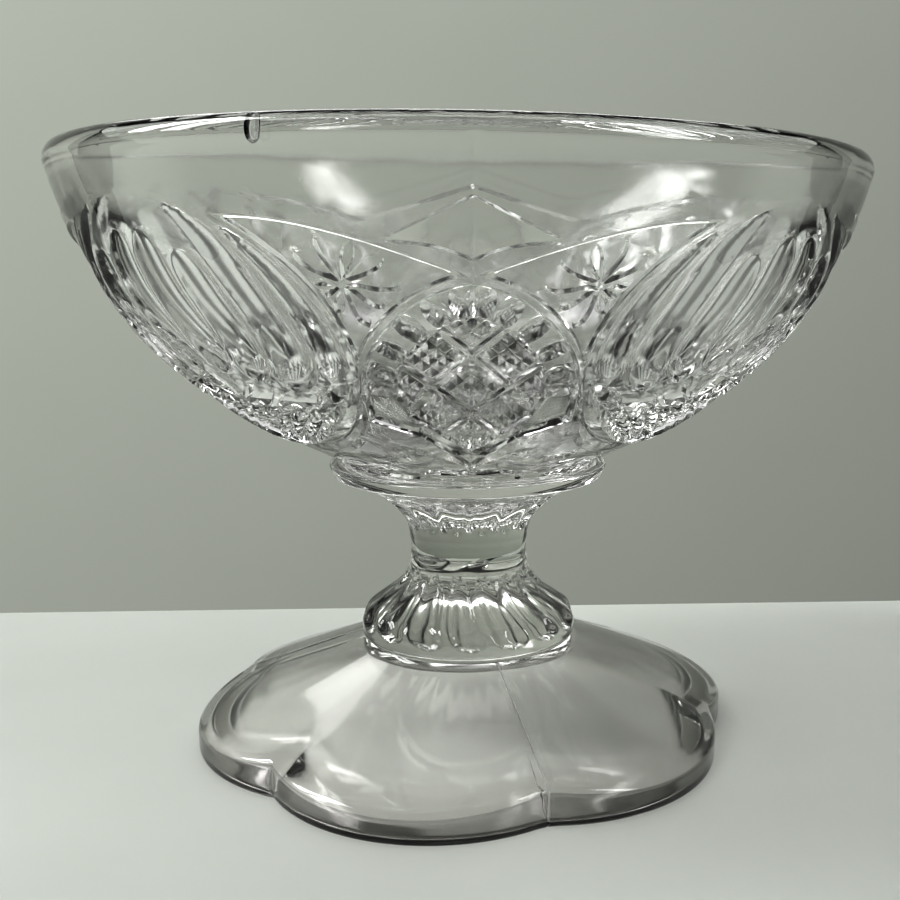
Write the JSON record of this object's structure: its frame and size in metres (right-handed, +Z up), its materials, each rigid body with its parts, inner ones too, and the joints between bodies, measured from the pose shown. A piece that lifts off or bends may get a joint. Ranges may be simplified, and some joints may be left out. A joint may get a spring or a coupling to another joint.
{
  "type": "sherbet dish",
  "caption": "Footed clear pressed-glass dish: wide bowl with fluted shell panels and lattice medallions, short stem with a fluted collar, hollow lobed foot; serves sherbet.",
  "frame": {"origin": "centre of the foot, on the surface that the dish stands on", "axes": "+Z up the axis of the dish; -Y towards the middle of one medallion of the bowl"},
  "size_m": [0.102, 0.102, 0.0765],
  "materials": {
    "bowl_glass": "clear, pressed and fire-polished",
    "stem_glass": "clear, pressed and fire-polished",
    "foot_glass": "clear with a faint warm grey tint in the thick edge"
  },
  "bodies": {
    "root": {"bowl": "bowl_glass", "stem": "stem_glass", "foot": "foot_glass"}
  },
  "joints": []
}
